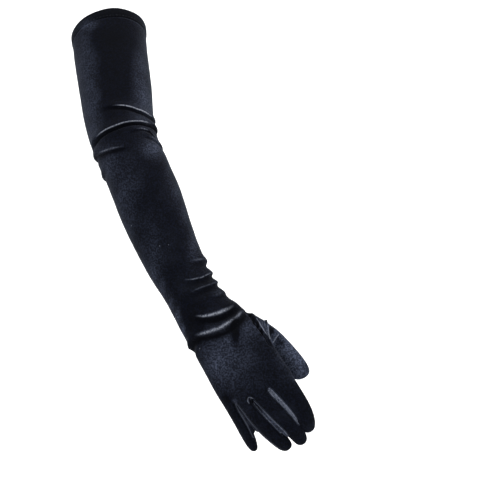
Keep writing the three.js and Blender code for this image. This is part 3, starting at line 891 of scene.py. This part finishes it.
def between(value, low, high):
    """0 at low, 1 at high, rising evenly from one to the other."""
    return start.node("ShaderNodeMapRange", {}, {0: value, 1: low, 2: high})


def bell(value, centre, width):
    """1 at the centre, falling smoothly to 0 within about twice the width."""
    return BASE ** (0 - ((value - centre) * (1 / width)) ** 2)


place = start.node("ShaderNodeTexCoord", {}, {}, out="Object")


def clumps(scale, detail):
    return start.node("ShaderNodeTexNoise", {}, {"Vector": place, "Scale": scale, "Detail": detail})


drift, tufts, ends = clumps(DRIFTS, 3.0), clumps(TUFTS, 4.5), clumps(ENDS, 2.0)
speckle = between(tufts, 0.42, 0.66)

# Painted highlights along the crests of the folds and the lips of the seams, and specks of lint.
crest_highlight = bell(attribute("crest"), 0, 1) * attribute("crest_light")
crest_highlight = crest_highlight * between(tufts, 0.2, 0.55)
lip_highlight_line = bell(attribute("from_seam"), LIP_LINE, 0.5) * attribute("lip_highlight")
speck = start.node(
    "ShaderNodeTexVoronoi", {}, {"Vector": place, "Scale": LINT_SCALE}, out="Distance"
)
lint = between(speck, LINT_ENDS, LINT_WHOLE) * between(drift, 0.5, 0.56) * LINT_BRIGHT
highlights_and_lint = crest_highlight + lip_highlight_line + lint

# Painted sheen, uneven from tuft to tuft and in drifts.
sheen_level = attribute("painted_sheen") * (0.35 + 1.3 * speckle) * (0.25 + 1.5 * drift)
sheen_level = sheen_level + between(drift, 0.5, 0.8) * 0.05
share = between(sheen_level + highlights_and_lint * 3, 0, 1)

ground = mixed(speckle, PILE_AND_SHADE_BLACK, PILE_DEEP)
sheen_and_highlight_colour = mixed(highlights_and_lint, SHEEN_GREY, HIGHLIGHT_AND_LINT_PALE)
# Painted shade turns the colour black in the valleys, grooves, pressed patches and hem.
colour = mixed(attribute("hollow_shade"), mixed(share, ground, sheen_and_highlight_colour), PILE_AND_SHADE_BLACK)
bump = start.node(
    "ShaderNodeBump", {}, {"Height": tufts * 0.6 + ends * 0.4, "Strength": 0.75, "Distance": 0.0009}
)
tree.links.new(colour.socket, shader.inputs["Base Color"])
tree.links.new(bump.socket, shader.inputs["Normal"])


# How thick the cloth is.
CLOTH = 1.3


def finish_cloth(piece, thick):
    """Gives a cut of cloth its thickness, inwards, and the velvet."""
    bpy.ops.object.select_all(action="DESELECT")
    piece.select_set(True)
    bpy.context.view_layer.objects.active = piece
    if thick:
        bpy.ops.object.modifier_add(type="SOLIDIFY")
        wall = piece.modifiers[-1]
        wall.thickness = thick * MM
        wall.offset = -1
        bpy.ops.object.modifier_apply(modifier=wall.name)
    bpy.ops.object.shade_smooth()
    piece.data.materials.clear()
    piece.data.materials.append(velvet)
    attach(piece, "root")


for name, piece in cloth_pieces.items():
    piece.name = f"{name}_velvet"
    finish_cloth(piece, CLOTH)
    if name == "glove_body":
        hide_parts("sleeve_upper", "sleeve_lower", "hand")
    else:
        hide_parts(name)


# Hem
# The top edge of the sleeve is turned over once, 13 mm deep, and held by a line of small
# stitches that pulls the band in a little along its lower edge.
HEM_DEEP, HEM_LEAN, HEM_SIDES = 13, 4, 40
# The band's section: distance down from the edge, and height above the sleeve's face.
HEM_SECTION = [
    (-0.1, -0.5), (-0.1, 0.4), (1.0, 1.1), (3.2, 1.3), (7.0, 1.2), (9.6, 1.0), (10.5, 0.6),
    (11.4, 0.7), (12.7, 0.4), (13.4, -0.2), (13.1, -1.2), (7.0, -1.3), (0.6, -1.3),
]
around = np.arange(HEM_SIDES) * 2 * pi / HEM_SIDES


def hem_line(at):
    """A line round the band, which leans down from the thumb side to the little side."""
    return [at, at - HEM_LEAN, at, at + HEM_LEAN]


def hem_ring(at, out):
    """A ring of the band, whose upper edge sways a little and whose lower edge is even."""
    sway = 0.5 * np.sin(3 * around + 0.7) + 0.3 * np.sin(7 * around + 2)
    s = line_at(hem_line(at), around) + sway * (1 - at / HEM_DEEP)
    return cloth_at(s, around, out) * MM


first = hem_ring(*HEM_SECTION[0])
hem = start_ring("hem_band_velvet", first)
ring = first
for at, out in HEM_SECTION[1:]:
    ring = draw_out(ring, hem_ring(at, out))
pick(ring, first)
bpy.ops.mesh.bridge_edge_loops()
smooth_out(hem, 2)
hem_points = np.array([vert.co for vert in hem.data.vertices]) / MM
hem_normals = np.array([vert.normal for vert in hem.data.vertices])
hem_sheen = painted_sheen_at(hem_points, hem_normals)
# Painted sheen from the patches, and painted shade where that sheen is weak.
give_fields(hem, {"painted_sheen": hem_sheen, "hollow_shade": np.clip(0.8 - 4 * hem_sheen, 0, 1)})
finish_cloth(hem, 0)
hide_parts("hem_band")

# The stitches lie in the groove that they pull into the band: how many, their length and
# thickness, how far down the groove is, and their height above the sleeve's face.
STITCHES, STITCH_LONG, STITCH_THICK = 72, 2.4, 0.45
GROOVE, STITCH_HIGH = 10.5, 0.75
# Each stitch points to the place on the groove that is this far ahead of it, in radians.
AHEAD = 0.02
thread = new_finish("sewing_thread", {
    "Base Color": (0.004, 0.005, 0.009, 1), "Roughness": 0.6, "Specular IOR Level": 0.15,
})


def along_groove(turns):
    return cloth_at(line_at(hem_line(GROOVE), turns), turns, STITCH_HIGH) * MM


turns = np.arange(STITCHES) * 2 * pi / STITCHES
spots = along_groove(turns)
aheads = along_groove(turns + AHEAD) - spots
bpy.ops.object.select_all(action="DESELECT")
for k, (spot, ahead) in enumerate(zip(spots, aheads)):
    turn = Vector(ahead).to_track_quat("Z", "Y").to_euler()
    bpy.ops.mesh.primitive_uv_sphere_add(
        segments=6, ring_count=5, radius=STITCH_THICK / 2 * MM, location=spot, rotation=turn,
        scale=(1, 1, STITCH_LONG / STITCH_THICK),
    )
    if k == 0:
        stitches = bpy.context.object
        bpy.ops.object.transform_apply(location=True, rotation=True, scale=True)
        bpy.ops.object.mode_set(mode="EDIT")
bpy.ops.object.mode_set(mode="OBJECT")
bpy.ops.object.shade_smooth()
stitches.name = "hem_stitches"
stitches.data.materials.append(thread)
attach(stitches, "root")


# Floor, backdrop and light
# A plain pale sweep that curves up behind, a big soft light on each side, one overhead and one
# on the backdrop. Sizes are in metres.
FLOOR_AT = -0.66
FLOOR_CORNERS = [(-4, -3), (4, -3), (-4, 1.6), (4, 1.6)]
SWEEP_MOVES = [(0, 0.35, 0.03), (0, 0.3, 0.2), (0, 0.12, 0.4), (0, 0, 3.2)]
bpy.ops.object.select_all(action="DESELECT")
bpy.ops.mesh.primitive_plane_add(size=1)
sweep = bpy.context.object
sweep.name = "floor"
for vert, corner in zip(sweep.data.vertices, FLOOR_CORNERS):
    vert.co = (*corner, FLOOR_AT)
bpy.ops.object.mode_set(mode="EDIT")
bpy.ops.mesh.select_mode(type="EDGE")
for move in SWEEP_MOVES:
    mesh = bmesh.from_edit_mesh(sweep.data)
    edge = max(mesh.edges, key=lambda e: sum(v.co.y + v.co.z for v in e.verts))
    bpy.ops.mesh.select_all(action="DESELECT")
    edge.select_set(True)
    bmesh.update_edit_mesh(sweep.data)
    bpy.ops.mesh.extrude_edges_move(TRANSFORM_OT_translate={"value": move})
bpy.ops.object.mode_set(mode="OBJECT")
bpy.ops.object.shade_smooth()
paper = new_finish("pale_paper", {"Base Color": (0.93, 0.93, 0.93, 1), "Roughness": 0.9})
sweep.data.materials.append(paper)

# Each light: its place, what it points at, its size, watts and colour.
ON_GLOVE, ON_BACKDROP = (0.1, -0.11, -0.23), (0, 2.3, 0.2)
WHITE, COOL = (1, 1, 1), (0.86, 0.92, 1)
LIGHTS = [
    ("left_softbox", (-1.9, -1.5, 0.5), ON_GLOVE, 1.6, 26, COOL),
    ("right_softbox", (2.1, -1.1, 0.4), ON_GLOVE, 1.6, 26, WHITE),
    ("overhead_softbox", (0.2, -0.5, 1.7), ON_GLOVE, 2.0, 34, WHITE),
    ("backdrop_light", (0.0, 0.5, 2.0), ON_BACKDROP, 3.0, 60, WHITE),
]
for name, spot, target, size, watts, light_colour in LIGHTS:
    bpy.ops.object.light_add(type="AREA", location=spot)
    lamp = bpy.context.object
    lamp.name = name
    lamp.data.size = size
    lamp.data.energy = watts
    lamp.data.color = light_colour
    lamp.rotation_euler = (Vector(target) - Vector(spot)).to_track_quat("-Z", "Y").to_euler()

WORLD_LIGHT = 0.7
world = bpy.data.worlds.new("studio")
bpy.context.scene.world = world
world.use_nodes = True
world.node_tree.nodes["Background"].inputs["Color"].default_value = (1, 1, 1, 1)
world.node_tree.nodes["Background"].inputs["Strength"].default_value = WORLD_LIGHT

# The camera looks level along +Y, at the middle of the glove's height.
CAMERA_AT = (0.158, -1.64, -0.2486)
LENS, SENSOR = 102.16, 36
bpy.ops.object.camera_add(location=CAMERA_AT, rotation=(pi / 2, 0, 0))
camera = bpy.context.object
camera.data.sensor_width = SENSOR
camera.data.lens = LENS
camera.data.clip_start = 0.05
bpy.context.scene.camera = camera
bpy.context.scene.view_settings.view_transform = "Standard"
